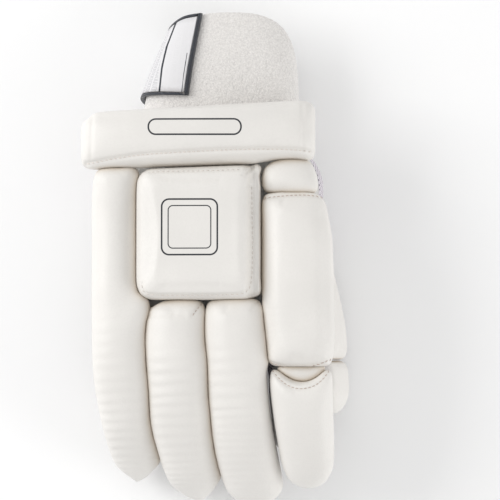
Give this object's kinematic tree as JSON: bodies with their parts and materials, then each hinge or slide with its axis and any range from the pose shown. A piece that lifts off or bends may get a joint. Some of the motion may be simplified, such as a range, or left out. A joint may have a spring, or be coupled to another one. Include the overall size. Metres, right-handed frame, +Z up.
{
  "type": "cricket batting glove",
  "caption": "Right-hand cricket batting glove with padded finger rolls, a square back pad, a cuff roll, a towelling wristband and a wrap-over strap.",
  "frame": {"origin": "under the middle of the glove's box, on the floor that it lies on", "axes": "+X across the hand towards the thumb, +Y from the fingertips to the wrist, +Z up, from the palm to the back of the hand"},
  "size_m": [0.1462, 0.2724, 0.0745],
  "materials": {
    "white_leather": "soft white coated leather, slightly glossy",
    "palm_leather": "matte soft leather",
    "towelling": "looped cotton towelling",
    "strap_film": "smooth coated strap",
    "navy_tape": "woven binding tape"
  },
  "bodies": {
    "root": {"palm": "palm_leather", "little_stall": "palm_leather", "ring_stall": "palm_leather", "middle_stall": "palm_leather", "index_stall": "palm_leather", "thumb_stall": "palm_leather", "palm_patch": "palm_leather", "little_finger_roll": "white_leather", "ring_finger_roll": "white_leather", "middle_finger_roll": "white_leather", "index_base_roll": "white_leather", "index_knuckle_roll": "white_leather", "index_tip_roll": "white_leather", "index_joint_gusset": "white_leather", "thumb_base_roll": "white_leather", "thumb_tip_roll": "white_leather", "back_pad": "white_leather", "cuff_roll": "white_leather", "wrist_band": "towelling", "wrist_strap": "strap_film", "strap_edge": "navy_tape"}
  },
  "joints": []
}
